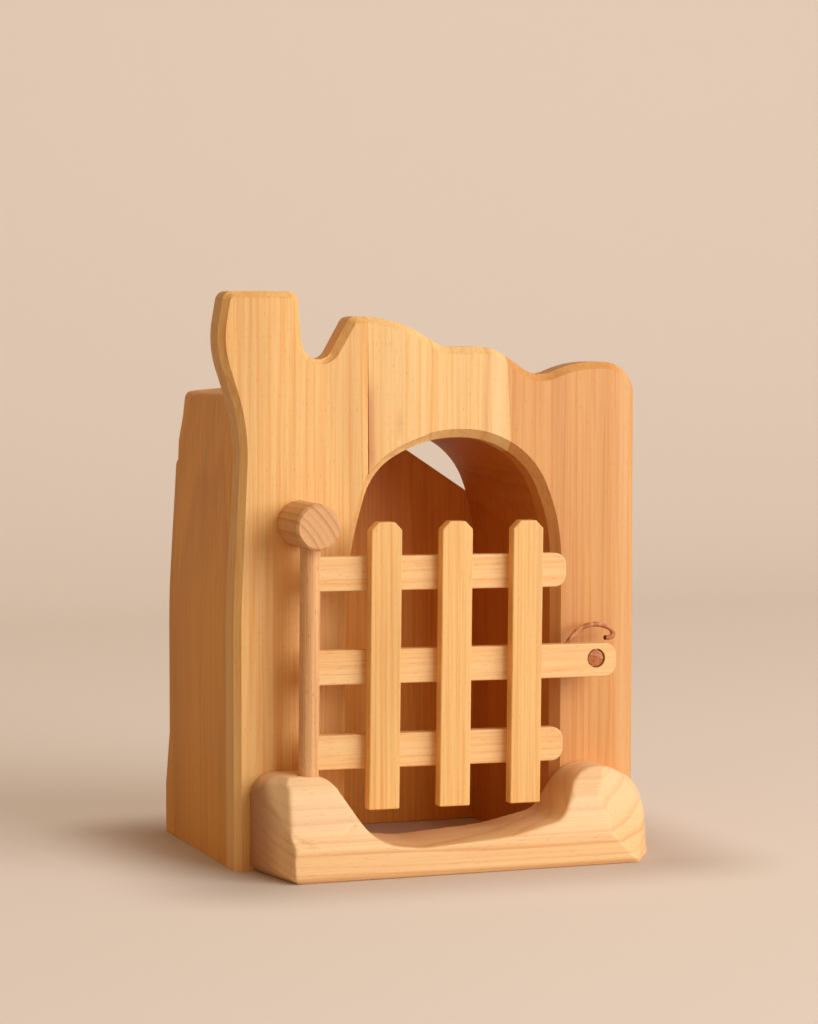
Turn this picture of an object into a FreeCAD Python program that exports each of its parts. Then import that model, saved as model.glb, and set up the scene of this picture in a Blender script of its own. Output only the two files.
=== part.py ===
import FreeCAD, Part
import math
import os
import re
import Sketcher

# A wooden toy jailhouse, in millimetres: +Z up, the front faces -Y, and the left side is the one
# that carries the chimney. Inside this file X runs from the left side to the right, Y = 0 is the front
# of the front boards, and every finished piece is shifted so that the origin is at the middle
# of the base.

doc = FreeCAD.newDocument("toy_jailhouse")
sheet = doc.addObject("Spreadsheet::Sheet", "Sizes")

SIZES = {
    # the house as a whole
    "house_width": 165.5,
    "front_thickness": 12.5,
    "body_back": 88.0,
    "left_foot_x": -3.0,
    "left_waist_x": -3.0,
    "left_waist_z": 100.0,
    "waist_radius": 400.0,
    # the sawn top edge of the front, from the chimney to the right shoulder, as drawn at this width
    "drawn_width": 165.5,
    "neck_x": 0.5,
    "neck_z": 171.9,
    "neck_radius": 79.0,
    "bulge_x": -10.0,
    "bulge_z": 204.1,
    "bulge_radius": 40.0,
    "bulge_reach": 8.84,
    "chimney_left_x": -6.3,
    "chimney_right_x": 23.4,
    "chimney_z": 224.7,
    "chimney_corner_radius": 3.9,
    "chimney_foot_x": 24.7,
    "chimney_foot_z": 205.1,
    "chimney_foot_radius": 18.0,
    "notch_x": 30.8,
    "notch_z": 190.4,
    "notch_radius": 6.2,
    "hump_left_x": 44.7,
    "hump_left_z": 214.9,
    "hump_left_radius": 4.0,
    "hump_right_x": 62.6,
    "hump_right_z": 215.3,
    "hump_right_radius": 50.0,
    "ledge_left_x": 83.1,
    "ledge_left_z": 202.9,
    "ledge_left_radius": 11.0,
    "ledge_right_x": 104.2,
    "ledge_right_z": 203.1,
    "ledge_right_radius": 20.0,
    "valley_x": 123.3,
    "valley_z": 190.4,
    "valley_radius": 13.0,
    "shoulder_left_x": 139.8,
    "shoulder_left_z": 196.9,
    "shoulder_left_radius": 45.0,
    "shoulder_z": 196.6,
    "shoulder_radius": 13.0,
    "edge_chamfer": 2.9,
    "saw_margin": 10.0,
    # the joints between the three boards of the front
    "joint_left_x": 51.4,
    "joint_right_top_x": 108.4,
    "joint_right_foot_x": 118.7,
    # the doorway, which runs on as an arched cell through the body
    "door_left_foot_x": 42.0,
    "door_left_x": 43.3,
    "door_left_z": 120.4,
    "door_left_radius": 148.0,
    "door_haunch_left_x": 53.7,
    "door_haunch_left_z": 154.9,
    "door_haunch_left_radius": 26.4,
    "door_crown_left_x": 77.0,
    "door_crown_right_x": 102.5,
    "door_crown_left_z": 168.0,
    "door_crown_left_radius": 52.0,
    "door_crown_right_z": 166.7,
    "door_crown_right_radius": 36.0,
    "door_haunch_right_x": 120.4,
    "door_haunch_right_z": 156.1,
    "door_haunch_right_radius": 31.8,
    "door_right_x": 129.9,
    "door_right_z": 130.9,
    "door_right_radius": 69.0,
    "door_right_foot_x": 129.6,
    "door_chamfer": 3.4,
    # the body behind the front: two side blocks and the block over the arch
    "body_side_z": 184.0,
    "body_ridge_z": 190.6,
    "body_top_round": 3.0,
    "body_ridge_radius": 480.0,
    "block_joint_left_x": 54.0,
    "block_joint_right_x": 121.0,
    "carve_foot_z": 157.5,
    "carve_waist_y": 79.2,
    "carve_waist_z": 174.0,
    "carve_head_y": 71.2,
    "carve_slant": 0.8,
    # the back board
    "back_thickness": 6.6,
    "back_left_z": 157.0,
    "back_left_round": 4.0,
    "back_swell_x": 40.0,
    "back_swell_z": 161.0,
    "back_swell_radius": 40.0,
    "back_peak_left_x": 64.0,
    "back_peak_right_x": 80.0,
    "back_peak_z": 171.4,
    "back_peak_radius": 9.0,
    "back_slope_x": 138.0,
    "back_slope_z": 133.3,
    "back_slope_radius": 30.0,
    "back_right_z": 128.0,
    "foot_swell": 6.0,
    "foot_swell_z": 20.0,
    "foot_waist_z": 43.0,
    # the carved threshold in front of the doorway
    "sill_depth": 35.2,
    "sill_left_x": 2.5,
    "post_hump_z": 38.9,
    "post_hump_radius": 9.8,
    "post_hump_right_x": 28.1,
    "post_hump_right_radius": 10.0,
    "dip_left_x": 43.0,
    "dip_left_z": 13.5,
    "dip_left_radius": 20.0,
    "dip_x": 62.0,
    "dip_z": 11.3,
    "dip_radius": 40.0,
    "rise_x": 98.0,
    "rise_z": 13.6,
    "rise_radius": 90.0,
    "latch_hump_foot_x": 120.8,
    "latch_hump_foot_z": 18.4,
    "latch_hump_foot_radius": 9.0,
    "latch_hump_left_x": 132.8,
    "latch_hump_z": 36.4,
    "latch_hump_left_radius": 17.0,
    "latch_hump_right_x": 146.5,
    "latch_hump_right_radius": 18.0,
    "sill_right_shoulder_x": 162.9,
    "sill_right_shoulder_z": 28.9,
    "sill_right_shoulder_radius": 7.0,
    "sill_right_x": 163.8,
    "lean_z": 13.0,
    "post_crown_y": -18.5,
    "latch_crown_y": -16.0,
    # the hinge: a stub of thick dowel and a thin post that turns in it
    "knob_diameter": 18.0,
    "knob_x": 23.15,
    "knob_reach": 24.4,
    "knob_in_front": 10.0,
    "knob_z": 134.8,
    "knob_chamfer": 1.0,
    "post_diameter": 8.0,
    "post_x": 22.05,
    "post_y": -14.0,
    "post_foot_z": 30.0,
    "post_head_z": 130.6,
    "post_head_gap": 1.0,
    "post_clearance": 0.1,
    "glue_clearance": 0.05,
    # the gate, which leans with its post
    "gate_lean": 0.6,
    "rail_height": 13.4,
    "rail_thickness": 5.0,
    "rail_top_z": 109.6,
    "rail_middle_z": 73.4,
    "rail_bottom_z": 40.6,
    "rail_tenon": 3.4,
    "rail_top_x": 127.7,
    "rail_middle_x": 149.7,
    "rail_bottom_x": 127.2,
    "rail_end_radius": 4.8,
    "picket_width": 12.7,
    "picket_thickness": 5.0,
    "picket_foot_z": 25.1,
    "picket_head_z": 136.4,
    "picket_corner": 3.1,
    "picket_left_x": 50.5,
    "picket_middle_x": 79.7,
    "picket_right_x": 109.3,
    "stick_round": 0.6,
    # the latch
    "peg_diameter": 6.4,
    "peg_x": 141.6,
    "peg_z": 79.6,
    "peg_in_front": 9.0,
    "peg_reach": 16.9,
    "peg_chamfer": 1.0,
    "latch_clearance": 0.6,
    # the leather lace
    "lace_diameter": 2.0,
}

# Points of the lace's route, from its hole in the front to its cut end.
LACE_ROUTE = [
    (133.2, 0.0, 76.2),
    (133.2, -3.6, 76.2),
    (132.6, -6.4, 79.0),
    (132.4, -6.8, 83.4),
    (134.8, -6.8, 87.2),
    (138.6, -6.8, 90.8),
    (144.0, -6.9, 92.4),
    (149.3, -7.0, 91.6),
    (152.6, -7.7, 89.7),
    (151.9, -9.3, 86.5),
    (148.0, -10.2, 87.0),
]

for row, (alias, value) in enumerate(SIZES.items(), start=1):
    sheet.set(f"A{row}", alias)
    sheet.set(f"B{row}", str(value))
    sheet.setAlias(f"B{row}", alias)
doc.recompute()

FRONT = "XZ_Plane"
SIDE = "YZ_Plane"
WORD = re.compile(r"\b[a-z][a-z_]+\b(?!\()")
SHIFT_X = "(bulge_reach - house_width) / 2"
SHIFT_Y = "(sill_depth - body_back - back_thickness - foot_swell) / 2"


def bound(text):
    """The text of a size, with every name in it pointed at the sheet."""
    return WORD.sub(lambda found: "Sizes." + found.group(0), str(text))


def number(text):
    """The value of a size in millimetres."""
    return float(sheet.evalExpression(bound(text)))


def place(piece):
    """Shifts a finished piece so that the origin is under the middle of the toy."""
    piece.setExpression("Placement.Base.x", bound(SHIFT_X))
    piece.setExpression("Placement.Base.y", bound(SHIFT_Y))
    return piece


def place_leaning(piece):
    """Leans a piece of the gate to the right about the post's foot, then shifts it as the others."""
    across = " + post_x * (1 - cos(gate_lean)) - post_foot_z * sin(gate_lean)"
    up = "post_foot_z * (1 - cos(gate_lean)) + post_x * sin(gate_lean)"
    piece.Placement = FreeCAD.Placement(FreeCAD.Vector(), LEANING)
    piece.setExpression("Placement.Base.x", bound(SHIFT_X + across))
    piece.setExpression("Placement.Base.y", bound(SHIFT_Y))
    piece.setExpression("Placement.Base.z", bound(up))
    return piece


def new_body(name):
    body = doc.addObject("PartDesign::Body", name)
    body.Label = name
    return body


def pin(sketch, item, spot, pair):
    """Holds one end of a sketch's line, or a point, at a pair of sizes from the origin."""
    for kind, axis, text in (("DistanceX", -2, pair[0]), ("DistanceY", -1, pair[1])):
        value = number(text)
        if value == 0:
            sketch.addConstraint(Sketcher.Constraint("PointOnObject", item, spot, axis))
        elif value > 0:
            at = sketch.addConstraint(Sketcher.Constraint(kind, -1, 1, item, spot, value))
            sketch.setExpression(f"Constraints[{at}]", bound(text))
        else:
            at = sketch.addConstraint(Sketcher.Constraint(kind, item, spot, -1, 1, -value))
            sketch.setExpression(f"Constraints[{at}]", bound(f"-({text})"))


def outline(body, name, role, corners, start="0"):
    """A closed sketch through corners, each (across, up) or (across, up, radius of its rounding)."""
    sketch = body.newObject("Sketcher::SketchObject", name)
    plane = next(item for item in body.Origin.OriginFeatures if item.Role == role)
    sketch.AttachmentSupport = [(plane, "")]
    sketch.MapMode = "FlatFace"
    sketch.setExpression("AttachmentOffset.Base.z", bound(start))
    count = len(corners)
    points = [FreeCAD.Vector(number(corner[0]), number(corner[1]), 0) for corner in corners]
    entries, leaves = list(points), list(points)
    arcs = {}
    for index, corner in enumerate(corners):
        if len(corner) < 3:
            continue
        arrive = (points[index] - points[index - 1]).normalize()
        depart = (points[(index + 1) % count] - points[index]).normalize()
        radius = number(corner[2])
        half = arrive.getAngle(depart) / 2
        reach = radius * math.tan(half)
        entries[index] = points[index] - arrive * reach
        leaves[index] = points[index] + depart * reach
        centre = points[index] + (depart - arrive).normalize() * (radius / math.cos(half))
        anticlockwise = arrive.cross(depart).z > 0
        first, last = (entries[index], leaves[index]) if anticlockwise else (leaves[index], entries[index])
        turns = [math.atan2(spot.y - centre.y, spot.x - centre.x) for spot in (first, last)]
        circle = Part.Circle(centre, FreeCAD.Vector(0, 0, 1), radius)
        arcs[index] = (circle, turns, anticlockwise)
    for index in range(count):
        sketch.addGeometry(Part.LineSegment(leaves[index], entries[(index + 1) % count]))
    for index, corner in enumerate(corners):
        before = (index - 1) % count
        if index not in arcs:
            sketch.addConstraint(Sketcher.Constraint("Coincident", before, 2, index, 1))
            pin(sketch, index, 1, corner)
            continue
        circle, turns, anticlockwise = arcs[index]
        arc = sketch.addGeometry(Part.ArcOfCircle(circle, *turns))
        spot = sketch.addGeometry(Part.Point(points[index]), True)
        entry, leave = (1, 2) if anticlockwise else (2, 1)
        sketch.addConstraint(Sketcher.Constraint("Tangent", before, 2, arc, entry))
        sketch.addConstraint(Sketcher.Constraint("Tangent", arc, leave, index, 1))
        sketch.addConstraint(Sketcher.Constraint("PointOnObject", spot, 1, before))
        sketch.addConstraint(Sketcher.Constraint("PointOnObject", spot, 1, index))
        at = sketch.addConstraint(Sketcher.Constraint("Radius", arc, circle.Radius))
        sketch.setExpression(f"Constraints[{at}]", bound(corner[2]))
        pin(sketch, spot, 1, corner)
    return sketch


def pad(body, sketch, length):
    """Thickens a sketch towards +Y."""
    feature = body.newObject("PartDesign::Pad", sketch.Name + "_pad")
    feature.Profile = sketch
    feature.Reversed = True
    feature.setExpression("Length", bound(length))
    doc.recompute()
    return feature


def pocket(body, sketch, both_ways=False):
    """Cuts a sketch out of all the wood behind it."""
    feature = body.newObject("PartDesign::Pocket", sketch.Name + "_cut")
    feature.Profile = sketch
    feature.Type = "ThroughAll"
    feature.Midplane = both_ways
    before = body.Shape.Volume
    doc.recompute()
    if body.Shape.Volume >= before - 1:
        raise RuntimeError(f"{feature.Name} removes no wood")
    return feature


def ease(body, kind, name, wanted, size):
    """Puts a Fillet or a Chamfer on every edge of the body for which wanted(edge) is true."""
    base = body.Tip
    found = [f"Edge{at}" for at, edge in enumerate(base.Shape.Edges, start=1) if wanted(edge)]
    if not found:
        raise RuntimeError(f"{name} finds no edge")
    feature = body.newObject("PartDesign::" + kind, name)
    feature.Base = (base, found)
    feature.setExpression("Radius" if kind == "Fillet" else "Size", bound(size))
    doc.recompute()
    if "Invalid" in feature.State:
        raise RuntimeError(f"{name} cannot be made on its edges")
    return feature


def primitive(kind, name, at=None, turn=None, **sizes):
    """A box, cylinder or cone whose sizes and position follow the sheet."""
    solid = doc.addObject("Part::" + kind, name)
    for key, text in sizes.items():
        solid.setExpression(key, bound(text))
    if turn:
        solid.Placement = FreeCAD.Placement(FreeCAD.Vector(), turn)
    for key, text in zip("xyz", at or ()):
        solid.setExpression(f"Placement.Base.{key}", bound(text))
    return solid


def boolean(kind, name, base, tool):
    """Part::Cut or Part::Common of two solids."""
    result = doc.addObject("Part::" + kind, name)
    result.Label = name
    result.Base = base
    result.Tool = tool
    doc.recompute()
    return result


def fuse(name, solids):
    result = doc.addObject("Part::MultiFuse", name)
    result.Label = name
    result.Shapes = solids
    doc.recompute()
    return result


def lies_at(edge, axis, value):
    """Whether the whole edge lies in the plane where x, y or z is the value."""
    middle = edge.valueAt((edge.FirstParameter + edge.LastParameter) / 2)
    points = [vertex.Point for vertex in edge.Vertexes] + [middle]
    return all(abs(getattr(point, axis) - value) < 0.01 for point in points)


# The turns that the gate, the knob and the drilled holes need.
LEANING = FreeCAD.Rotation(FreeCAD.Vector(0, 1, 0), number("gate_lean"))
TOWARDS_FRONT = FreeCAD.Rotation(FreeCAD.Vector(1, 0, 0), 90)
TOWARDS_BACK = FreeCAD.Rotation(FreeCAD.Vector(1, 0, 0), -90)

# The doorway's outline, which the front boards and the body share.
DOORWAY = [
    ("door_left_foot_x", "0"),
    ("door_left_x", "door_left_z", "door_left_radius"),
    ("door_haunch_left_x", "door_haunch_left_z", "door_haunch_left_radius"),
    ("door_crown_left_x", "door_crown_left_z", "door_crown_left_radius"),
    ("door_crown_right_x", "door_crown_right_z", "door_crown_right_radius"),
    ("door_haunch_right_x", "door_haunch_right_z", "door_haunch_right_radius"),
    ("door_right_x", "door_right_z", "door_right_radius"),
    ("door_right_foot_x", "0"),
]

# The front's outline: the left side, the chimney, the wavy top, the shoulder and the right side. The wavy top
# is stretched with the house.
STRETCH = " * house_width / drawn_width"
FRONT_OUTLINE = [
    ("left_foot_x", "0"),
    ("left_waist_x", "left_waist_z", "waist_radius"),
    ("neck_x", "neck_z", "neck_radius"),
    ("bulge_x", "bulge_z", "bulge_radius"),
    ("chimney_left_x", "chimney_z", "chimney_corner_radius"),
    ("chimney_right_x" + STRETCH, "chimney_z", "chimney_corner_radius"),
    ("chimney_foot_x" + STRETCH, "chimney_foot_z", "chimney_foot_radius" + STRETCH),
    ("notch_x" + STRETCH, "notch_z", "notch_radius" + STRETCH),
    ("hump_left_x" + STRETCH, "hump_left_z", "hump_left_radius" + STRETCH),
    ("hump_right_x" + STRETCH, "hump_right_z", "hump_right_radius" + STRETCH),
    ("ledge_left_x" + STRETCH, "ledge_left_z", "ledge_left_radius" + STRETCH),
    ("ledge_right_x" + STRETCH, "ledge_right_z", "ledge_right_radius" + STRETCH),
    ("valley_x" + STRETCH, "valley_z", "valley_radius" + STRETCH),
    ("shoulder_left_x" + STRETCH, "shoulder_left_z", "shoulder_left_radius" + STRETCH),
    ("house_width", "shoulder_z", "shoulder_radius"),
    ("house_width", "0"),
]


def make_front():
    """The front before its joints are drawn: sawn outline, doorway and chamfered edges."""
    body = new_body("front_panel")
    pad(body, outline(body, "front_outline", FRONT, FRONT_OUTLINE), "front_thickness")
    pocket(body, outline(body, "doorway_outline", FRONT, DOORWAY))
    left = number("door_left_foot_x - 2 * door_chamfer")
    right = number("door_right_x + 2 * door_chamfer")
    top = number("door_crown_left_z + 2 * door_chamfer")

    def in_the_doorway(edge):
        middle = edge.valueAt((edge.FirstParameter + edge.LastParameter) / 2)
        return left < middle.x < right and middle.z < top

    def doorway_edge(edge):
        return lies_at(edge, "y", 0) and not lies_at(edge, "z", 0) and in_the_doorway(edge)

    def outer_edge(edge):
        return lies_at(edge, "y", 0) and not lies_at(edge, "z", 0) and not in_the_doorway(edge)

    ease(body, "Chamfer", "doorway_chamfer", doorway_edge, "door_chamfer")
    ease(body, "Chamfer", "outline_chamfer", outer_edge, "edge_chamfer")
    return body


# How far the saw cuts run on past the wood.
ABOVE = "chimney_z + saw_margin"
BELOW = "-saw_margin"
OUTSIDE_LEFT = "bulge_x - saw_margin"
OUTSIDE_RIGHT = "house_width + saw_margin"


def make_stock(name, corners, start, depth):
    """The piece of wood that a board or block is sawn from, as a block with slanted sides."""
    body = new_body(name)
    pad(body, outline(body, name + "_outline", FRONT, corners, f"-({start})"), depth)
    return body


def make_front_boards():
    panel = make_front()
    joints = {
        "front_board_left": [
            (OUTSIDE_LEFT, BELOW),
            (OUTSIDE_LEFT, ABOVE),
            ("joint_left_x", ABOVE),
            ("joint_left_x", BELOW),
        ],
        "front_board_middle": [
            ("joint_left_x", BELOW),
            ("joint_left_x", ABOVE),
            ("joint_right_top_x", ABOVE),
            ("joint_right_foot_x", BELOW),
        ],
        "front_board_right": [
            ("joint_right_foot_x", BELOW),
            ("joint_right_top_x", ABOVE),
            (OUTSIDE_RIGHT, ABOVE),
            (OUTSIDE_RIGHT, BELOW),
        ],
    }
    boards = {}
    for name, corners in joints.items():
        stock = make_stock("stock_of_" + name, corners, BELOW, "front_thickness + 2 * saw_margin")
        boards[name] = boolean("Common", name + "_sawn", panel, stock)
    knob_bore = primitive(
        "Cylinder",
        "knob_bore",
        at=("knob_x", BELOW, "knob_z"),
        turn=TOWARDS_BACK,
        Radius="knob_diameter / 2 + glue_clearance",
        Height="knob_in_front + saw_margin",
    )
    peg_bore = primitive(
        "Cylinder",
        "peg_bore",
        at=("peg_x", BELOW, "peg_z"),
        turn=TOWARDS_BACK,
        Radius="peg_diameter / 2 + glue_clearance",
        Height="peg_in_front + saw_margin",
    )
    left = boolean("Cut", "front_board_left", boards["front_board_left"], knob_bore)
    right = boolean("Cut", "front_board_right", boards["front_board_right"], peg_bore)
    boards["front_board_middle"].Label = "front_board_middle"
    return [place(left), place(boards["front_board_middle"]), place(right)]


def make_body_blocks():
    """Two side blocks and the block over the arch, hollowed together and carved at the back corners."""
    shell = new_body("body_shell")
    profile = [
        ("left_foot_x", "0"),
        ("left_waist_x", "left_waist_z", "waist_radius"),
        ("neck_x", "body_side_z", "body_top_round"),
        ("house_width / 2", "body_ridge_z", "body_ridge_radius"),
        ("house_width", "body_side_z", "body_top_round"),
        ("house_width", "0"),
    ]
    depth = "body_back - front_thickness"
    pad(shell, outline(shell, "body_outline", FRONT, profile, "-front_thickness"), depth)
    pocket(shell, outline(shell, "cell_outline", FRONT, DOORWAY))
    carving = new_body("carving_profile")
    curve = [
        ("body_back", "carve_foot_z"),
        ("carve_waist_y", "carve_waist_z"),
        ("carve_head_y", "body_ridge_z + saw_margin"),
        ("2 * body_back", "body_ridge_z + saw_margin"),
        ("2 * body_back", "carve_foot_z - saw_margin"),
        ("body_back", "carve_foot_z - saw_margin"),
    ]
    sketch = outline(carving, "carving_outline", SIDE, curve, "left_foot_x")
    doc.recompute()
    waste = doc.addObject("Part::Extrusion", "left_waste")
    waste.Base = sketch
    waste.DirMode = "Custom"
    waste.setExpression("Dir.x", bound("carve_slant"))
    waste.Dir = FreeCAD.Vector(number("carve_slant"), 1, 0)
    waste.setExpression("LengthFwd", bound("body_back"))
    waste.Solid = True
    other_waste = doc.addObject("Part::Mirroring", "right_waste")
    other_waste.Source = waste
    other_waste.Normal = FreeCAD.Vector(1, 0, 0)
    other_waste.setExpression("Base.x", bound("house_width / 2"))
    doc.recompute()
    carved = boolean("Cut", "body_carved", shell, fuse("body_waste", [waste, other_waste]))
    stocks = {
        "side_block_left": (OUTSIDE_LEFT, "block_joint_left_x"),
        "crown_block": ("block_joint_left_x", "block_joint_right_x"),
        "side_block_right": ("block_joint_right_x", OUTSIDE_RIGHT),
    }
    blocks = []
    for name, (left, right) in stocks.items():
        corners = [(left, BELOW), (left, ABOVE), (right, ABOVE), (right, BELOW)]
        stock = make_stock("stock_of_" + name, corners, BELOW, "body_back + 2 * saw_margin")
        blocks.append(place(boolean("Common", name, carved, stock)))
    return blocks


def make_back_board():
    """The back, with a slanted top edge that leaves a gap under the arch, and a swelling foot."""
    body = new_body("back_board")
    profile = [
        ("left_foot_x", "0"),
        ("left_waist_x", "left_waist_z", "waist_radius"),
        ("neck_x", "back_left_z", "back_left_round"),
        ("back_swell_x", "back_swell_z", "back_swell_radius"),
        ("back_peak_left_x", "back_peak_z", "back_peak_radius"),
        ("back_peak_right_x", "back_peak_z", "back_peak_radius"),
        ("back_slope_x", "back_slope_z", "back_slope_radius"),
        ("house_width", "back_right_z", "back_left_round"),
        ("house_width", "0"),
    ]
    sketch = outline(body, "back_outline", FRONT, profile, "-body_back")
    pad(body, sketch, "back_thickness + foot_swell")
    face = "body_back + back_thickness"
    waste = [
        (face + " + foot_swell", "foot_swell_z"),
        (face, "foot_waist_z"),
        (face, ABOVE),
        (face + " + foot_swell + saw_margin", ABOVE),
        (face + " + foot_swell + saw_margin", "foot_swell_z"),
    ]
    pocket(body, outline(body, "back_waste", SIDE, waste), both_ways=True)
    return place(body)


# The knife cuts that shape the threshold: a point that each flat cut passes through, the way
# the cut faces, and how far it is taken.
KNIFE_CUTS = {
    "left_end_facet": (("sill_left_x", "0", "0"), (-0.993, -0.118, 0.0), 60.0),
    "left_lower_facet": (("sill_left_x + 2.4", "-19.9", "1"), (-0.958, -0.284, 0.034), 60.0),
    "left_upper_facet": (("sill_left_x + 1.6", "-13.7", "32"), (-0.780, -0.500, 0.376), 60.0),
    "left_foot_facet": (("sill_left_x", "0", "2.4"), (-0.620, -0.115, -0.776), 60.0),
    "front_foot_facet": (("dip_x", "1.7 - sill_depth", "0"), (0.0, -0.8, -0.6), 100.0),
    "front_lean_facet": (("dip_x", "-sill_depth", "lean_z"), (0.0, -0.875, 0.483), 100.0),
    "post_crown_facet": (("post_x", "post_crown_y", "post_hump_z"), (0.0, -0.642, 0.767), 40.0),
    "latch_crown_facet": (("peg_x", "latch_crown_y", "latch_hump_z"), (0.0, -0.642, 0.767), 40.0),
    "right_upper_facet": (("sill_right_x - 8.8", "-33", "1"), (0.510, -0.710, 0.480), 60.0),
    "right_corner_facet": (("sill_right_x - 1", "-18.7", "0"), (0.840, -0.540, 0.080), 60.0),
}


def knife_cut(name, point, normal, reach):
    """A block whose near face passes through a point: what one flat knife cut takes away."""
    block = doc.addObject("Part::Box", name)
    block.Length = reach
    block.Width = 2 * reach
    block.Height = 2 * reach
    turn = FreeCAD.Rotation(FreeCAD.Vector(1, 0, 0), FreeCAD.Vector(*normal))
    corner = turn.multVec(FreeCAD.Vector(0, -reach, -reach))
    spot = FreeCAD.Vector(*(number(text) for text in point))
    block.Placement = FreeCAD.Placement(spot + corner, turn)
    return block


def make_threshold():
    """The carved threshold: a low sill between the post's hump and the latch's hump."""
    body = new_body("threshold_blank")
    profile = [
        ("sill_left_x", "0"),
        ("sill_left_x", "post_hump_z", "post_hump_radius"),
        ("post_hump_right_x", "post_hump_z", "post_hump_right_radius"),
        ("dip_left_x", "dip_left_z", "dip_left_radius"),
        ("dip_x", "dip_z", "dip_radius"),
        ("rise_x", "rise_z", "rise_radius"),
        ("latch_hump_foot_x", "latch_hump_foot_z", "latch_hump_foot_radius"),
        ("latch_hump_left_x", "latch_hump_z", "latch_hump_left_radius"),
        ("latch_hump_right_x", "latch_hump_z", "latch_hump_right_radius"),
        ("sill_right_shoulder_x", "sill_right_shoulder_z", "sill_right_shoulder_radius"),
        ("sill_right_x", "0"),
    ]
    pad(body, outline(body, "threshold_outline", FRONT, profile, "sill_depth"), "sill_depth")
    cuts = [knife_cut(name, *cut) for name, cut in KNIFE_CUTS.items()]
    carved = boolean("Cut", "threshold_carved", body, fuse("threshold_waste", cuts))
    bore = primitive(
        "Cylinder",
        "post_bore",
        at=("post_x", "post_y", "post_foot_z"),
        turn=LEANING,
        Radius="post_diameter / 2 + post_clearance",
        Height="post_hump_z",
    )
    return place(boolean("Cut", "threshold", carved, bore))


def make_knob():
    """A stub of thick dowel, glued in the left board, with a bore underneath for the post."""
    body = new_body("knob_blank")
    radius = "knob_diameter / 2"
    half = [
        ("0", "-knob_in_front"),
        (radius, "-knob_in_front"),
        (radius, "knob_reach - knob_chamfer"),
        (radius + " - knob_chamfer", "knob_reach"),
        ("0", "knob_reach"),
    ]
    turned(body, half)
    body.Placement = FreeCAD.Placement(FreeCAD.Vector(), TOWARDS_FRONT)
    body.setExpression("Placement.Base.x", bound("knob_x"))
    body.setExpression("Placement.Base.z", bound("knob_z"))
    bore = primitive(
        "Cylinder",
        "knob_post_bore",
        at=("post_x", "post_y", "post_foot_z"),
        turn=LEANING,
        Radius="post_diameter / 2 + post_clearance",
        Height="post_head_z + post_head_gap - post_foot_z",
    )
    return place(boolean("Cut", "hinge_knob", body, bore))


def turned(body, half):
    """A turned piece: half of its section, in X and Z, spun about Z."""
    sketch = outline(body, body.Name + "_half", FRONT, half)
    spin = body.newObject("PartDesign::Revolution", body.Name + "_turned")
    spin.Profile = sketch
    spin.ReferenceAxis = (sketch, ["V_Axis"])
    spin.Angle = 360
    doc.recompute()
    return spin


RAILS = {
    "rail_top": ("rail_top_z", "rail_top_x"),
    "rail_middle": ("rail_middle_z", "rail_middle_x"),
    "rail_bottom": ("rail_bottom_z", "rail_bottom_x"),
}
RAIL_BACK = "post_y + rail_thickness / 2"
# Where the peg's hole is drilled in the middle rail, seen before the gate leans.
HOLE_X = "post_x + (peg_x - post_x) * cos(gate_lean) - (peg_z - post_foot_z) * sin(gate_lean)"
HOLE_Z = "post_foot_z + (peg_x - post_x) * sin(gate_lean) + (peg_z - post_foot_z) * cos(gate_lean)"
RAIL_START = "post_x + post_diameter / 2 - rail_tenon"


def make_post():
    """The thin dowel that the gate hangs on, with a slot for each rail."""
    blank = primitive(
        "Cylinder",
        "post_blank",
        at=("post_x", "post_y", "post_foot_z"),
        Radius="post_diameter / 2",
        Height="post_head_z - post_foot_z",
    )
    slots = [
        primitive(
            "Box",
            "slot_of_" + name,
            at=(RAIL_START, "post_y - rail_thickness / 2", foot),
            Length="post_diameter",
            Width="rail_thickness",
            Height="rail_height",
        )
        for name, (foot, end) in RAILS.items()
    ]
    return place_leaning(boolean("Cut", "gate_post", blank, fuse("post_slots", slots)))


def make_rails():
    rails = []
    for name, (foot, end) in RAILS.items():
        body = new_body(name + "_blank" if name == "rail_middle" else name)
        head = foot + " + rail_height"
        corners = [
            (RAIL_START, foot),
            (RAIL_START, head),
            (end, head, "rail_end_radius"),
            (end, foot, "rail_end_radius"),
        ]
        sketch = outline(body, name + "_outline", FRONT, corners, f"-({RAIL_BACK} - rail_thickness)")
        pad(body, sketch, "rail_thickness")
        post_side = number("post_x + post_diameter")
        front = number(f"{RAIL_BACK} - rail_thickness")

        def front_edge(edge):
            return lies_at(edge, "y", front) and edge.BoundBox.XMax > post_side

        ease(body, "Fillet", name + "_eased", front_edge, "stick_round")
        if name == "rail_middle":
            bore = primitive(
                "Cylinder",
                "latch_bore",
                at=(HOLE_X, "post_y - rail_thickness", HOLE_Z),
                turn=TOWARDS_BACK,
                Radius="peg_diameter / 2 + latch_clearance",
                Height="rail_thickness * 2",
            )
            body = boolean("Cut", name, body, bore)
        rails.append(place_leaning(body))
    return rails


def make_pickets():
    pickets = []
    for name in ("picket_left", "picket_middle", "picket_right"):
        body = new_body(name)
        left = name + "_x - picket_width / 2"
        right = name + "_x + picket_width / 2"
        corners = [
            (left, "picket_foot_z", "stick_round"),
            (left, "picket_head_z - picket_corner"),
            (left + " + picket_corner", "picket_head_z"),
            (right + " - picket_corner", "picket_head_z"),
            (right, "picket_head_z - picket_corner"),
            (right, "picket_foot_z", "stick_round"),
        ]
        face = f"{RAIL_BACK} - rail_thickness - picket_thickness"
        pad(body, outline(body, name + "_outline", FRONT, corners, f"-({face})"), "picket_thickness")
        front = number(face)

        def front_edge(edge):
            return lies_at(edge, "y", front)

        ease(body, "Fillet", name + "_eased", front_edge, "stick_round")
        pickets.append(place_leaning(body))
    return pickets


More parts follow.
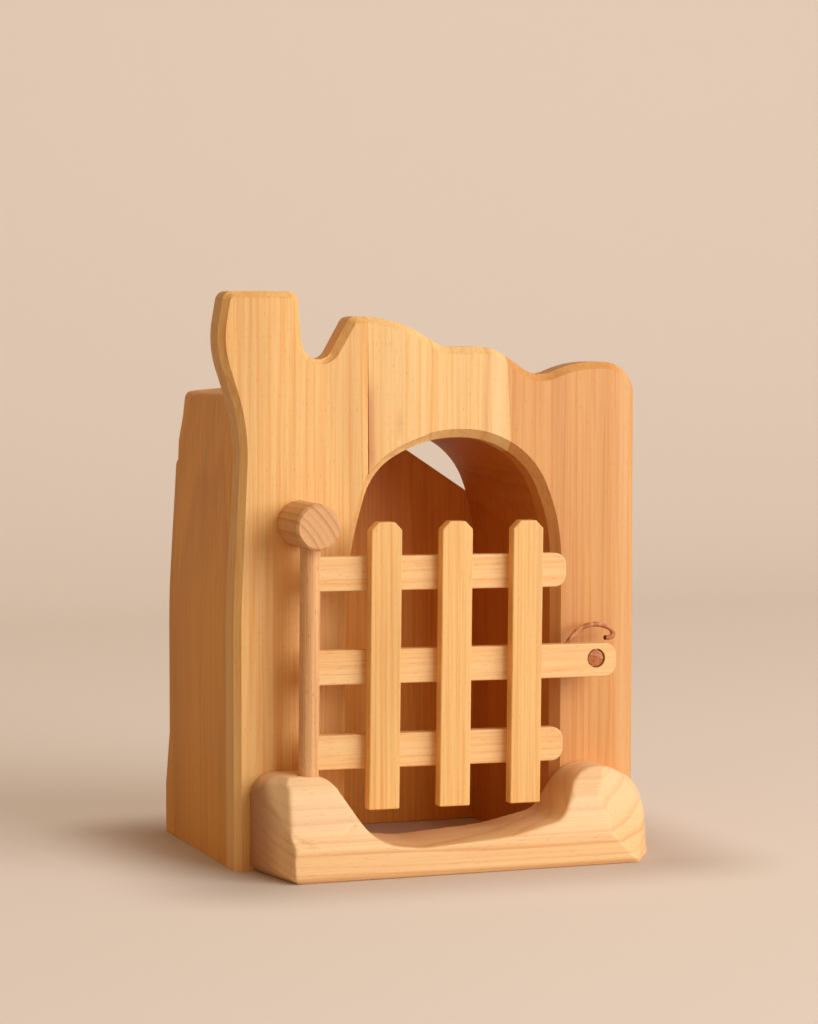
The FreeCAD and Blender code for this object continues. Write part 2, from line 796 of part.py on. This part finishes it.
def make_peg():
    """The darker peg in the right board, over which the middle rail's hole slips."""
    shank = primitive(
        "Cylinder",
        "peg_shank",
        at=("peg_x", "-peg_reach + peg_chamfer", "peg_z"),
        turn=TOWARDS_BACK,
        Radius="peg_diameter / 2",
        Height="peg_in_front + peg_reach - peg_chamfer",
    )
    tip = primitive(
        "Cone",
        "peg_tip",
        at=("peg_x", "-peg_reach + peg_chamfer", "peg_z"),
        turn=TOWARDS_FRONT,
        Radius1="peg_diameter / 2",
        Radius2="peg_diameter / 2 - peg_chamfer",
        Height="peg_chamfer",
    )
    return place(fuse("latch_peg", [shank, tip]))


def make_lace():
    """The leather lace: a thin tube along straight runs joined by tangent arcs."""
    points = [FreeCAD.Vector(*point) for point in LACE_ROUTE]
    edges = []
    start = points[0]
    for before, corner, after in zip(points, points[1:], points[2:]):
        incoming = (corner - before).normalize()
        outgoing = (after - corner).normalize()
        turn = incoming.getAngle(outgoing)
        reach = 0.45 * min((corner - before).Length, (after - corner).Length)
        radius = reach / math.tan(turn / 2)
        entry = corner - incoming * reach
        leave = corner + outgoing * reach
        towards = (outgoing - incoming).normalize()
        middle = corner + towards * ((radius ** 2 + reach ** 2) ** 0.5 - radius)
        edges.append(Part.LineSegment(start, entry).toShape())
        edges.append(Part.Arc(entry, middle, leave).toShape())
        print(f"lace radius {radius:.1f} at {tuple(round(value, 1) for value in corner)}")
        start = leave
    edges.append(Part.LineSegment(start, points[-1]).toShape())
    path = Part.Wire(edges)
    first = (points[1] - points[0]).normalize()
    ring = Part.Wire([Part.makeCircle(number("lace_diameter") / 2, points[0], first)])
    tube = path.makePipeShell([ring], True, False)
    area = math.pi * number("lace_diameter") ** 2 / 4
    print(f"lace length {path.Length:.1f}, volume ratio {tube.Volume / (area * path.Length):.4f}")
    lace = doc.addObject("Part::Feature", "leather_lace")
    lace.Label = "leather_lace"
    lace.Shape = tube
    return place(lace)


nodes = make_front_boards() + make_body_blocks() + [make_back_board(), make_threshold()]
nodes += [make_knob(), make_post()] + make_rails() + make_pickets() + [make_peg(), make_lace()]
doc.recompute()

for item in doc.Objects:
    if {"Invalid", "Error"} & set(item.State):
        raise RuntimeError(f"{item.Name} did not build: {item.State}")
for node in nodes:
    if node.Shape.isNull() or not node.Shape.isValid():
        raise RuntimeError(f"{node.Label} has no valid shape")

os.makedirs("parts", exist_ok=True)
for node in nodes:
    node.Shape.exportStep(f"parts/{node.Label}.step")
    box = node.Shape.BoundBox
    print(f"{node.Label:20s} {len(node.Shape.Solids)} solid {node.Shape.Volume / 1000:8.2f} cm3", box)
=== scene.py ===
import bmesh
import bpy
import math
from mathutils import Euler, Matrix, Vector


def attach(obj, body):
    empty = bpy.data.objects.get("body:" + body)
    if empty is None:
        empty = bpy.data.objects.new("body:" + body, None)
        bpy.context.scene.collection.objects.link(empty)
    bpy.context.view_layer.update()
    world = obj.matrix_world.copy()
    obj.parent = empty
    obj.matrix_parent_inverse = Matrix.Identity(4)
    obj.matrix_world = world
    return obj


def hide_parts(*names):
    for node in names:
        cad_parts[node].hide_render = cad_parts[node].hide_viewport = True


# A wooden toy jailhouse, dressed over its CAD frame: metres, +Z up, the front faces -Y.
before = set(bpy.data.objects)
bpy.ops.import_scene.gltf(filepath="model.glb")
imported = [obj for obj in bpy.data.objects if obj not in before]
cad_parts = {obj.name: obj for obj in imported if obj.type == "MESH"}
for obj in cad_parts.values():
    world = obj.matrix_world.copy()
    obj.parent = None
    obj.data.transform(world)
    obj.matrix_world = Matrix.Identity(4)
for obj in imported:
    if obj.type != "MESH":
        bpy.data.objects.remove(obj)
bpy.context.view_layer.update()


# The camera.
# It stands low and a little to the left of the toy, far enough away that the upright edges stay parallel.
lens_data = bpy.data.cameras.new("camera")
lens_data.lens = 107.578
lens_data.sensor_width = 36.0
lens_data.dof.use_dof = False
camera = bpy.data.objects.new("camera", lens_data)
camera.location = (-0.42195, -1.1584, 0.2169)
camera.rotation_euler = Euler((math.radians(86.25), math.radians(-0.04), math.radians(-20.10)), "XYZ")
bpy.context.scene.collection.objects.link(camera)
bpy.context.scene.camera = camera


# The leather lace of the latch.
# A round brown cord of 2 mm, pushed into a small hole above the middle rail; its free end is cut square and
# curls down in front of the board.
LACE_ROUTE = [
    (0.05487, -0.0327, 0.0762),
    (0.05487, -0.0363, 0.0762),
    (0.05427, -0.0391, 0.0790),
    (0.05407, -0.0395, 0.0834),
    (0.05647, -0.0395, 0.0872),
    (0.06027, -0.0395, 0.0908),
    (0.06567, -0.0396, 0.0924),
    (0.07097, -0.0397, 0.0916),
    (0.07427, -0.0404, 0.0897),
    (0.07357, -0.0420, 0.0865),
    (0.06967, -0.0429, 0.0870),
]
LACE_THICK = 0.0020


def tint(code):
    """A colour from its six-figure code, as a shader wants it."""
    parts = [int(code[at:at + 2], 16) / 255 for at in (1, 3, 5)]
    return [part / 12.92 if part <= 0.04045 else ((part + 0.055) / 1.055) ** 2.4 for part in parts] + [1.0]


class Tone:
    """A value or colour in a finish; sums written with Tones add the nodes that work them out."""

    def __init__(self, finish, socket):
        self.finish = finish
        self.socket = socket

    def sum(self, operation, other=None, first=None):
        pair = (self, other) if first is None else (first, self)
        return self.finish.add("ShaderNodeMath", {"operation": operation}, *pair)

    def __add__(self, other):
        return self.sum("ADD", other)

    def __sub__(self, other):
        return self.sum("SUBTRACT", other)

    def __rsub__(self, other):
        return self.sum("SUBTRACT", first=other)

    def __mul__(self, other):
        return self.sum("MULTIPLY", other)

    def __truediv__(self, other):
        return self.sum("DIVIDE", other)

    def __pow__(self, other):
        return self.sum("POWER", other)

    __radd__ = __add__
    __rmul__ = __mul__

    def rise(self, low, high):
        """0 below low, 1 above high, and a smooth climb between them."""
        settings = {"interpolation_type": "SMOOTHSTEP"}
        return self.finish.add("ShaderNodeMapRange", settings, self, low, high, 0.0, 1.0)

    def bump_at(self, middle, width):
        """1 where the value is the middle, and falling smoothly to 0 a few widths away from it."""
        off = (self - middle) / width
        return (off * off * -1.0).sum("EXPONENT")


class Finish:
    """The nodes of one finish, put together from the surface's own coordinates."""

    def __init__(self, name):
        self.material = bpy.data.materials.new(name)
        self.material.use_nodes = True
        self.nodes = self.material.node_tree.nodes
        self.links = self.material.node_tree.links
        self.nodes.clear()

    def add(self, kind, settings=None, *values, output=0, **named):
        node = self.nodes.new(kind)
        for key, value in (settings or {}).items():
            if key != "stops":
                setattr(node, key, value)
                continue
            ramp = node.color_ramp
            for spot, colour in value[2:]:
                ramp.elements.new(spot)
            for element, (spot, colour) in zip(ramp.elements, sorted(value)):
                element.position = spot
                element.color = colour
        for key, value in list(enumerate(values)) + list(named.items()):
            socket = node.inputs[key.replace("_", " ") if isinstance(key, str) else key]
            if isinstance(value, Tone):
                self.links.new(value.socket, socket)
            elif value is not None:
                socket.default_value = value
        return Tone(self, node.outputs[output])

    def place(self):
        return self.add("ShaderNodeTexCoord", output="Object")

    def split(self, vector):
        parts = self.add("ShaderNodeSeparateXYZ", None, vector).socket.node
        return [Tone(self, parts.outputs[axis]) for axis in range(3)]

    def spot(self, x, y, z):
        return self.add("ShaderNodeCombineXYZ", None, x, y, z)

    def stretch(self, vector, x, y, z):
        return self.add("ShaderNodeVectorMath", {"operation": "MULTIPLY"}, vector, (x, y, z))

    def noise(self, vector, detail=2.0, roughness=0.5):
        return self.add("ShaderNodeTexNoise", None, Vector=vector, Scale=1.0, Detail=detail, Roughness=roughness)

    def mix(self, share, one, other, blend="MIX"):
        settings = {"data_type": "RGBA", "blend_type": blend, "clamp_factor": True}
        node = self.add("ShaderNodeMix", settings, share).socket.node
        for key, value in ((6, one), (7, other)):
            if isinstance(value, Tone):
                self.links.new(value.socket, node.inputs[key])
            else:
                node.inputs[key].default_value = value
        return Tone(self, node.outputs[2])

    def lighten(self, colour, amount):
        return self.add("ShaderNodeHueSaturation", None, Color=colour, Value=amount)

    def surface(self, colour, roughness, height, depth, **plain):
        """The shader itself; height times depth, in metres, is the relief of the surface."""
        bump = self.add("ShaderNodeBump", None, Strength=1.0, Distance=depth, Height=height, output="Normal")
        shader = self.add("ShaderNodeBsdfPrincipled", None, Roughness=roughness, Normal=bump, **plain)
        self.links.new(colour.socket, shader.socket.node.inputs["Base Color"])
        out = self.nodes.new("ShaderNodeOutputMaterial")
        self.links.new(shader.socket, out.inputs["Surface"])
        return self.material


def lace_leather():
    """Rubbed brown leather: a coarse grain, with paler scuffs where it rubs."""
    finish = Finish("lace_leather")
    where = finish.place()
    grain = finish.noise(finish.stretch(where, 1500, 1500, 1500), 3.0, 0.6)
    scuff = finish.noise(finish.stretch(where, 330, 330, 330), 2.0)
    colour = finish.mix(scuff.rise(0.40, 0.66), tint("#B4683A"), tint("#DC9A68"))
    colour = finish.lighten(colour, grain * 0.5 + 0.75)
    cut_end = where_it_is_cut(finish, where, LACE_ROUTE[-1])
    colour = finish.mix(cut_end * 0.85, colour, tint("#4A2412"))
    return finish.surface(colour, grain * 0.2 + 0.5, grain, 0.00015)


def where_it_is_cut(finish, where, end):
    """1 within half a millimetre of the lace's cut end."""
    gap = finish.add("ShaderNodeVectorMath", {"operation": "DISTANCE"}, where, end, output=1)
    return 1 - gap.rise(LACE_THICK * 0.40, LACE_THICK * 0.56)


lace_line = bpy.data.curves.new("leather_lace_line", "CURVE")
lace_line.dimensions = "3D"
lace_spline = lace_line.splines.new("NURBS")
lace_spline.points.add(len(LACE_ROUTE) - 1)
for knot, spot in zip(lace_spline.points, LACE_ROUTE):
    knot.co = (*spot, 1.0)
lace_spline.order_u = 3
lace_spline.use_endpoint_u = True
lace_spline.resolution_u = 10
lace_line.bevel_depth = LACE_THICK / 2
lace_line.bevel_resolution = 5
lace_line.use_fill_caps = True
lace_line.materials.append(lace_leather())
lace = bpy.data.objects.new("lace", lace_line)
bpy.context.scene.collection.objects.link(lace)
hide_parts("leather_lace")
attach(lace, "house")


# The front of the house.
# Three boards glued edge to edge, then sawn to the wavy outline as one and sanded, with a flat chamfer
# along the outline and a broader one around the doorway.
FRONT_FACE = -0.0327


def worked(node, name, finish, body, slot, eased, bend=28, merge=0.000002, crease=40, trim=None):
    """A copy of a sawn piece whose sharp edges are eased as sandpaper leaves them."""
    shape = bmesh.new()
    shape.from_mesh(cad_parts[node].data)
    bmesh.ops.remove_doubles(shape, verts=shape.verts, dist=merge)
    bmesh.ops.dissolve_limit(shape, angle_limit=math.radians(0.4), verts=shape.verts, edges=shape.edges)
    if trim:
        trim(shape)
    sharp = []
    for edge in shape.edges:
        if len(edge.link_faces) != 2 or edge.calc_face_angle(0) < math.radians(bend):
            continue
        sharp.append(edge)
    if eased:
        bmesh.ops.bevel(
            shape, geom=sharp, offset=eased, segments=2, profile=0.5, affect="EDGES", clamp_overlap=True)
    return finished(shape, name, finish, body, slot, node, crease=crease)


def finished(shape, name, finish, body, slot, *nodes, crease=40):
    """Turns a shape into a piece that rides on its body and stands for CAD nodes."""
    mesh = bpy.data.meshes.new(name)
    shape.to_mesh(mesh)
    shape.free()
    mesh.materials.append(finish)
    mesh.polygons.foreach_set("use_smooth", [True] * len(mesh.polygons))
    mesh.set_sharp_from_angle(angle=math.radians(crease))
    piece = bpy.data.objects.new(name, mesh)
    bpy.context.scene.collection.objects.link(piece)
    weigh = piece.modifiers.new("flat_faces_lead", "WEIGHTED_NORMAL")
    weigh.keep_sharp = True
    weigh.weight = 100
    bpy.context.view_layer.update()
    plain = bpy.data.meshes.new_from_object(piece.evaluated_get(bpy.context.evaluated_depsgraph_get()))
    piece.modifiers.clear()
    piece.data = plain
    plain.name = name
    bpy.data.meshes.remove(mesh)
    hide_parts(*nodes)
    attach(piece, body)
    return piece


def wood(name, pale, ring_line, along="Z", pith=(0.0, 0.3), ring=0.0022, lines=0.5, wander=0.003,
         stain="#8A4B22", stained=0.14, pores=0.3, fibre=0.06, brush=0.50, crisp=2.0, streaks=(), roughness=0.45,
         painted_end_shade=None, painted_top_light=None, seed=0.0):
    """Sawn and oiled wood, cut from a log with its pith at a distance, across the grain, from the toy.

    Each ring is a pale band that darkens slowly and ends at once; fibres and pores run along the grain.
    """
    finish = Finish(name)
    x, y, z = finish.split(finish.place())
    across, deep, length = {"X": (y, z, x), "Y": (x, z, y), "Z": (x, y, z)}[along]
    grain = finish.spot(across + seed, deep, length)
    drift = finish.noise(finish.stretch(grain, 16, 16, 2.6), 2.0) - 0.5
    ripple = finish.noise(finish.stretch(grain, 120, 120, 11), 2.0) - 0.5
    aside = across - pith[0]
    behind = deep - pith[1]
    radius = (aside * aside + behind * behind).sum("SQRT") + drift * wander * 4 + ripple * wander * 0.35
    turns = radius / ring
    slow = finish.noise(finish.spot(turns * 0.31, seed, 0.0), 1.0) - 0.5
    turns = turns + slow * 1.8
    year = turns.sum("FLOOR")
    phase = turns.sum("FRACT")
    strong = finish.add("ShaderNodeTexWhiteNoise", {"noise_dimensions": "1D"}, W=year)
    line = phase ** crisp * (1 - phase.rise(0.84, 1.0)) * (strong * 0.9 + 0.2)
    broad = finish.noise(finish.stretch(grain, 45, 45, 4), 2.0)
    brushed = finish.noise(finish.stretch(grain, 1000, 1000, 13), 3.0, 0.6)
    thin = finish.noise(finish.stretch(grain, 1900, 1900, 40), 2.0, 0.6)
    dash = finish.noise(finish.stretch(grain, 4500, 4500, 350), 0.0)
    colour = finish.mix(line * lines * 1.4, tint(pale), tint(ring_line))
    colour = finish.mix(brushed.rise(0.42, 0.68) * brush, colour, tint(ring_line))
    colour = finish.mix(broad.rise(0.50, 0.74) * stained, colour, tint(stain))
    for low, high, code, share, where, width, lean in streaks:
        off = across - (length - low) * lean + ripple * 0.006 + drift * 0.01
        ends = length.rise(low - 0.004, low + 0.012) * (1 - length.rise(high - 0.012, high + 0.004))
        colour = finish.mix(off.bump_at(where, width) * ends * share, colour, tint(code))
    # Painted light: the colour turns paler towards the top, between the two given heights.
    if painted_top_light:
        low, high, code = painted_top_light
        colour = finish.mix(z.rise(low, high) * 0.42, colour, tint(code))
    # Painted shade: the colour turns darker towards one end of the grain's length.
    if painted_end_shade:
        first, last, code = painted_end_shade
        colour = finish.mix(length.rise(last, first) * 0.75, colour, tint(code))
    colour = finish.lighten(colour, (thin - 0.5) * (2 * fibre) + 1.0)
    colour = finish.mix(dash.rise(0.72, 0.82) * pores, colour, tint(stain))
    rough = roughness + (thin - 0.5) * 0.2 - line * 0.05
    height = brushed * 0.5 + thin * 0.3 - line * 0.4 - dash.rise(0.72, 0.82) * 0.5
    return finish.surface(colour, rough, height, 0.00006, IOR=1.45)


def narrow_chamfers(shape):
    """Makes the chamfer as narrow as the knife left it on the left of the doorway, on the left side and in the notch."""
    for size, around_the_door in ((0.0034, True), (0.0029, False)):
        rims = [vert for vert in shape.verts if abs(vert.co.y - FRONT_FACE - size) < 0.00002]
        brims = [vert for vert in shape.verts if abs(vert.co.y - FRONT_FACE) < 0.00002]
        pairs = []
        for brim in brims:
            rim = min(rims, key=lambda vert: (vert.co.x - brim.co.x) ** 2 + (vert.co.z - brim.co.z) ** 2)
            apart = math.hypot(rim.co.x - brim.co.x, rim.co.z - brim.co.z)
            if apart < size * 1.3:
                pairs.append((brim, rim.co.copy()))
        for brim, rim in pairs:
            kept = share_of_chamfer(rim, around_the_door)
            brim.co.x = rim.x + (brim.co.x - rim.x) * kept
            brim.co.z = rim.z + (brim.co.z - rim.z) * kept
        for rim in rims:
            rim.co.y = FRONT_FACE + size * share_of_chamfer(rim.co, around_the_door)


def share_of_chamfer(spot, around_the_door):
    if around_the_door:
        return 0.85 if spot.x < 0.0 else 1.0
    notch = max(0.0, 1.0 - math.hypot(spot.x + 0.0475, spot.z - 0.1905) / 0.014)
    return (0.85 if spot.x < -0.060 else 0.95) * (1.0 - 0.7 * notch)


FRONT_WOODS = {
    "front_board_left": wood(
        "honey_wood_left_board", "#F8C880", "#EC9A3C", pith=(0.115, 0.34), lines=0.40, seed=0.37),
    "front_board_middle": wood(
        "honey_wood_middle_board", "#FCD290", "#F2AE50", pith=(0.02, 0.42), ring=0.0050, lines=0.30, seed=1.93,
        stained=0.1, streaks=[
            (0.150, 0.192, "#C8743C", 0.65, -0.0262, 0.0034, -0.02),
            (0.168, 0.178, "#8A4A22", 0.60, -0.0143, 0.0006, 0.0),
            (0.150, 0.215, "#C8823E", 0.30, 0.0001, 0.0005, 0.0),
            (0.150, 0.215, "#C8823E", 0.25, 0.0081, 0.0005, 0.0),
            (0.150, 0.215, "#C8823E", 0.35, 0.0236, 0.0012, 0.0),
            (0.150, 0.215, "#FFE2AE", 0.30, 0.0286, 0.0026, 0.0),
        ]),
    "front_board_right": wood(
        "honey_wood_right_board", "#E6AA67", "#DA8636", pith=(0.22, 0.30), ring=0.0032, lines=0.30, seed=4.11,
        stained=0.15, stain="#B06A3A", streaks=[
            (0.020, 0.200, "#A8632E", 0.35, 0.0340, 0.0016, -0.03),
            (0.020, 0.200, "#C07A40", 0.25, 0.0543, 0.0026, 0.0),
            (0.020, 0.200, "#C07A40", 0.20, 0.0740, 0.0020, 0.0),
            (0.000, 0.200, "#FFD29A", 0.30, 0.0840, 0.0030, 0.0),
        ]),
}
for node, finish in FRONT_WOODS.items():
    worked(node, node + "_sanded", finish, "house", "honey_wood", 0, crease=14, trim=narrow_chamfers)


# The body behind the front.
# Two thick side blocks and one over the arch, planed flat outside, hollowed together into the round cell,
# and cut slantwise with a knife at their back corners.
BODY_WOODS = {
    "side_block_left": wood(
        "honey_wood_left_side", "#FAB450", "#DE8C30", pith=(-0.9, 0.02), ring=0.0030, lines=0.45, seed=6.3),
    "crown_block": wood(
        "honey_wood_crown", "#DC9448", "#B6722E", pith=(0.0, 0.5), ring=0.004, seed=7.7),
    # The right block is coloured darker than the left: painted shade for the inside of the cell, which faces away from
    # the lamp.
    "side_block_right": wood(
        "honey_wood_right_side_in_shade", "#D8924A", "#B66C2A", pith=(0.9, 0.05), ring=0.0034, lines=0.45, seed=8.9),
}
for node, finish in BODY_WOODS.items():
    worked(node, node + "_planed", finish, "house", "honey_wood", 0.0003)


# The back board.
# One broad board glued behind the blocks; its top is sawn on a slant that leaves a gap under the arch, and
# its foot is left thicker and swells backwards.
back_wood = wood(
    "honey_wood_back", "#FAB450", "#DE8C30", pith=(0.05, -0.25), ring=0.0055, wander=0.006, seed=11.2)
worked("back_board", "back_board_planed", back_wood, "house", "honey_wood", 0.0006)


# The threshold.
# One piece of pale wood with its grain lying along it, carved with a knife: a round hump that carries the
# post, a low sill and a second hump below the latch, each cut ending in a soft ridge.
# The threshold's finish darkens its left end: painted shade where that end faces away from the lamp.
threshold_wood = wood(
    "pale_wood_threshold", "#FCCF94", "#DC8434", along="X", pith=(-0.10, 0.16), ring=0.0046, lines=0.85,
    wander=0.005, stain="#A85C2E", stained=0.16, brush=0.2, crisp=5.0, painted_end_shade=(-0.0762, -0.0705, "#984412"),
    # Painted light: the upper part is paler where the carved tops face up to the lamp.
    painted_top_light=(0.008, 0.026, "#FFE0B4"),
    seed=13.4)
# Each stroke of the knife: a spot on the surface, the way the cut faces, its depth and how far it reaches.
STROKES = [
    ((-0.0698, -0.0590, 0.0300), (-0.78, -0.55, 0.30), 0.0011, 0.0090),
    ((-0.0710, -0.0660, 0.0205), (-0.80, -0.60, 0.05), 0.0020, 0.0085),
    ((-0.0700, -0.0675, 0.0085), (-0.86, -0.50, -0.05), 0.0012, 0.0080),
    ((-0.0700, -0.0520, 0.0370), (-0.55, -0.30, 0.78), 0.0012, 0.0110),
    ((-0.0560, -0.0545, 0.0378), (0.05, -0.50, 0.86), 0.0006, 0.0120),
    ((-0.0520, -0.0640, 0.0270), (0.22, -0.94, 0.26), 0.0006, 0.0110),
    ((-0.0620, -0.0655, 0.0220), (-0.16, -0.96, 0.22), 0.0006, 0.0090),
    ((0.0500, -0.0560, 0.0335), (-0.50, -0.66, 0.56), 0.0010, 0.0090),
    ((0.0640, -0.0590, 0.0325), (0.05, -0.78, 0.62), 0.0007, 0.0100),
    ((0.0730, -0.0600, 0.0260), (0.46, -0.74, 0.50), 0.0008, 0.0090),
    ((0.0770, -0.0610, 0.0130), (0.62, -0.76, 0.18), 0.0008, 0.0090),
    ((0.0780, -0.0480, 0.0300), (0.74, -0.25, 0.62), 0.0008, 0.0100),
]


def carved(node, name, finish, body, slot, grid, strokes):
    """A copy of a carved piece on a fine grid, with its ridges softened and each stroke pared off flat."""
    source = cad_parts[node].data
    rough = bpy.data.objects.new(name + "_rough", source.copy())
    bpy.context.scene.collection.objects.link(rough)
    remesh = rough.modifiers.new("grid", "REMESH")
    remesh.mode = "VOXEL"
    remesh.voxel_size = grid
    bpy.context.view_layer.update()
    even = bpy.data.meshes.new_from_object(rough.evaluated_get(bpy.context.evaluated_depsgraph_get()))
    shape = bmesh.new()
    shape.from_mesh(even)
    for data in (rough.data, even):
        bpy.data.meshes.remove(data)

    def soften(times):
        for _ in range(times):
            bmesh.ops.smooth_vert(
                shape, verts=shape.verts, factor=0.5, use_axis_x=True, use_axis_y=True, use_axis_z=True)

    soften(3)
    for spot, facing, deep, reach in strokes:
        way = Vector(facing).normalized()
        level = way.dot(Vector(spot)) - deep
        for vert in shape.verts:
            over = way.dot(vert.co) - level
            gap = (vert.co - Vector(spot)).length
            if over > 0 and gap < reach:
                vert.co -= way * (over * min(1.0, (reach - gap) / (0.2 * reach)))
    soften(1)
    low = [min(vert.co[axis] for vert in source.vertices) for axis in range(3)]
    high = [max(vert.co[axis] for vert in source.vertices) for axis in range(3)]
    for vert in shape.verts:
        for axis in range(3):
            vert.co[axis] = min(max(vert.co[axis], low[axis]), high[axis])
    return finished(shape, name, finish, body, slot, node, crease=80)


carved("threshold", "threshold_carved", threshold_wood, "house", "pale_wood", 0.0007, STROKES)


# The knob and the post.
# Two bought dowels: a thick stub glued into the left board, whose sawn end shows its rings, and a thin one
# that turns in holes under the knob and in the threshold.
knob_wood = wood(
    "dowel_wood_knob", "#EAB27A", "#B0703A", along="Y", pith=(-0.085, 0.112), ring=0.0030, lines=0.8,
    wander=0.001, stain="#9A6236", stained=0.15, pores=0.6, brush=0.12, crisp=3.0, seed=15.1)
worked("hinge_knob", "knob_turned", knob_wood, "house", "dowel_wood", 0.0003)
post_wood = wood(
    "dowel_wood_post", "#F0BA80", "#C88A50", along="Z", pith=(-0.10, 0.02), ring=0.0016, lines=0.4,
    wander=0.001, stain="#8E5A30", stained=0.2, pores=0.9, seed=16.8)
worked("gate_post", "post_turned", post_wood, "gate", "dowel_wood", 0.0002)


# The rails of the gate.
# Three flat sticks of pale wood let into slots in the post, with their free ends rounded; the middle one is
# longer and has the hole that slips over the latch peg.
for turn, node in enumerate(("rail_top", "rail_middle", "rail_bottom")):
    rail_wood = wood(
        "pale_" + node, "#F9CC8E", "#EEA650", along="X", pith=(-0.30, 0.02 + 0.03 * turn), ring=0.0030,
        lines=0.4, wander=0.002, stained=0.15, seed=18.0 + 1.7 * turn)
    worked(node, node + "_sanded", rail_wood, "gate", "pale_wood", 0.0003)


# The pickets of the gate.
# Three equal sticks glued across the rails, with their top corners cut off and every edge rubbed down.
for turn, node in enumerate(("picket_left", "picket_middle", "picket_right")):
    picket_wood = wood(
        "honey_" + node, "#F9C980", "#EA983A", pith=(0.2 + 0.02 * turn, 0.22), ring=0.0028, lines=0.45,
        wander=0.002, seed=22.0 + 2.3 * turn)
    worked(node, node + "_sanded", picket_wood, "gate", "honey_wood", 0.0003)


# The latch peg.
# A stub of dark reddish dowel, glued in the right board, with its end cut to facets.
peg_wood = wood(
    "peg_wood", "#D2824C", "#8E4A28", along="Y", pith=(0.060, 0.070), ring=0.0016, lines=0.5, wander=0.0006,
    stain="#5A2A14", stained=0.3, seed=30.2)
PEG_POINT = Vector((0.0635, -0.0496, 0.0800))
FACET_SLANT = math.radians(17)


def pare_the_peg(shape):
    """Pares the peg's end to four flat facets that meet a little off its middle."""
    for quarter in range(4):
        turn = math.radians(25 + 90 * quarter)
        way = Vector((
            math.sin(FACET_SLANT) * math.cos(turn), -math.cos(FACET_SLANT), math.sin(FACET_SLANT) * math.sin(turn)))
        cut = bmesh.ops.bisect_plane(
            shape, geom=shape.verts[:] + shape.edges[:] + shape.faces[:], plane_co=PEG_POINT, plane_no=way,
            clear_outer=True, dist=0.000001)
        rim = [item for item in cut["geom_cut"] if isinstance(item, bmesh.types.BMEdge)]
        if rim:
            bmesh.ops.edgenet_fill(shape, edges=rim)
    bmesh.ops.recalc_face_normals(shape, faces=shape.faces)


worked("latch_peg", "peg_cut", peg_wood, "house", "peg_wood", 0.00015, bend=12, crease=10, trim=pare_the_peg)


# The table and the wall behind it.
# One wide sheet of warm beige paper, which lies flat under the toy and bends up behind it.
def sweep_of_paper():
    mesh = bpy.data.meshes.new("paper_sweep")
    shape = bmesh.new()
    half_width, near, bend_start, radius, height = 5.0, -8.0, 0.9, 0.7, 3.2
    line = [(near, 0.0), (bend_start, 0.0)]
    for step in range(1, 25):
        turn = math.pi / 2 * step / 24
        line.append((bend_start + radius * math.sin(turn), radius - radius * math.cos(turn)))
    line.append((bend_start + radius, height))
    rows = [[shape.verts.new((side * half_width, y, z)) for side in (-1, 1)] for y, z in line]
    for low, high in zip(rows, rows[1:]):
        shape.faces.new((low[0], low[1], high[1], high[0]))
    shape.to_mesh(mesh)
    shape.free()
    mesh.polygons.foreach_set("use_smooth", [True] * len(mesh.polygons))
    return mesh


def paper_colour():
    """Beige paper, evened out where the camera sees it, but not close under the toy or inside its cell."""
    finish = Finish("paper")
    diffuse = finish.add("ShaderNodeBsdfDiffuse", None, tint("#D8CBBF"))
    seen = finish.add("ShaderNodeLightPath", output="Is Camera Ray")
    x, y, z = finish.split(finish.place())
    beside = (x.sum("ABSOLUTE") - 0.083).sum("MAXIMUM", 0.0)
    before = (y.sum("ABSOLUTE") - 0.064).sum("MAXIMUM", 0.0)
    away = (beside * beside + before * before + z * z).sum("SQRT")
    glow = finish.add("ShaderNodeEmission", None, tint("#E6D7C6"), seen * away.rise(-0.004, 0.060) * 0.31)
    both = finish.add("ShaderNodeAddShader", None, diffuse, glow)
    out = finish.nodes.new("ShaderNodeOutputMaterial")
    finish.links.new(both.socket, out.inputs["Surface"])
    return finish.material


paper = bpy.data.objects.new("paper_sweep", sweep_of_paper())
paper.data.materials.append(paper_colour())
bpy.context.scene.collection.objects.link(paper)

# The light.
# A broad soft lamp to the right of the front, and an even warm light from all around.
LAMPS = {
    "window_right": {"turn": 38.0, "rise": 22.0, "away": 2.2, "side": 1.8, "power": 44.8, "colour": (0.98, 1.0, 1.02)},
}
for name, lamp in LAMPS.items():
    data = bpy.data.lights.new(name, "AREA")
    data.shape = "SQUARE"
    data.size = lamp["side"]
    data.energy = lamp["power"]
    data.color = lamp["colour"]
    turn, rise = math.radians(lamp["turn"]), math.radians(lamp["rise"])
    towards = Vector((math.sin(turn) * math.cos(rise), -math.cos(turn) * math.cos(rise), math.sin(rise)))
    light = bpy.data.objects.new(name, data)
    light.location = Vector((0, 0, 0.11)) + towards * lamp["away"]
    light.rotation_euler = towards.to_track_quat("Z", "Y").to_euler()
    bpy.context.scene.collection.objects.link(light)

world = bpy.data.worlds.new("room")
world.use_nodes = True
world.node_tree.nodes["Background"].inputs["Color"].default_value = tint("#FFDAB0")
world.node_tree.nodes["Background"].inputs["Strength"].default_value = 0.40
bpy.context.scene.world = world
bpy.context.scene.view_settings.view_transform = "Standard"
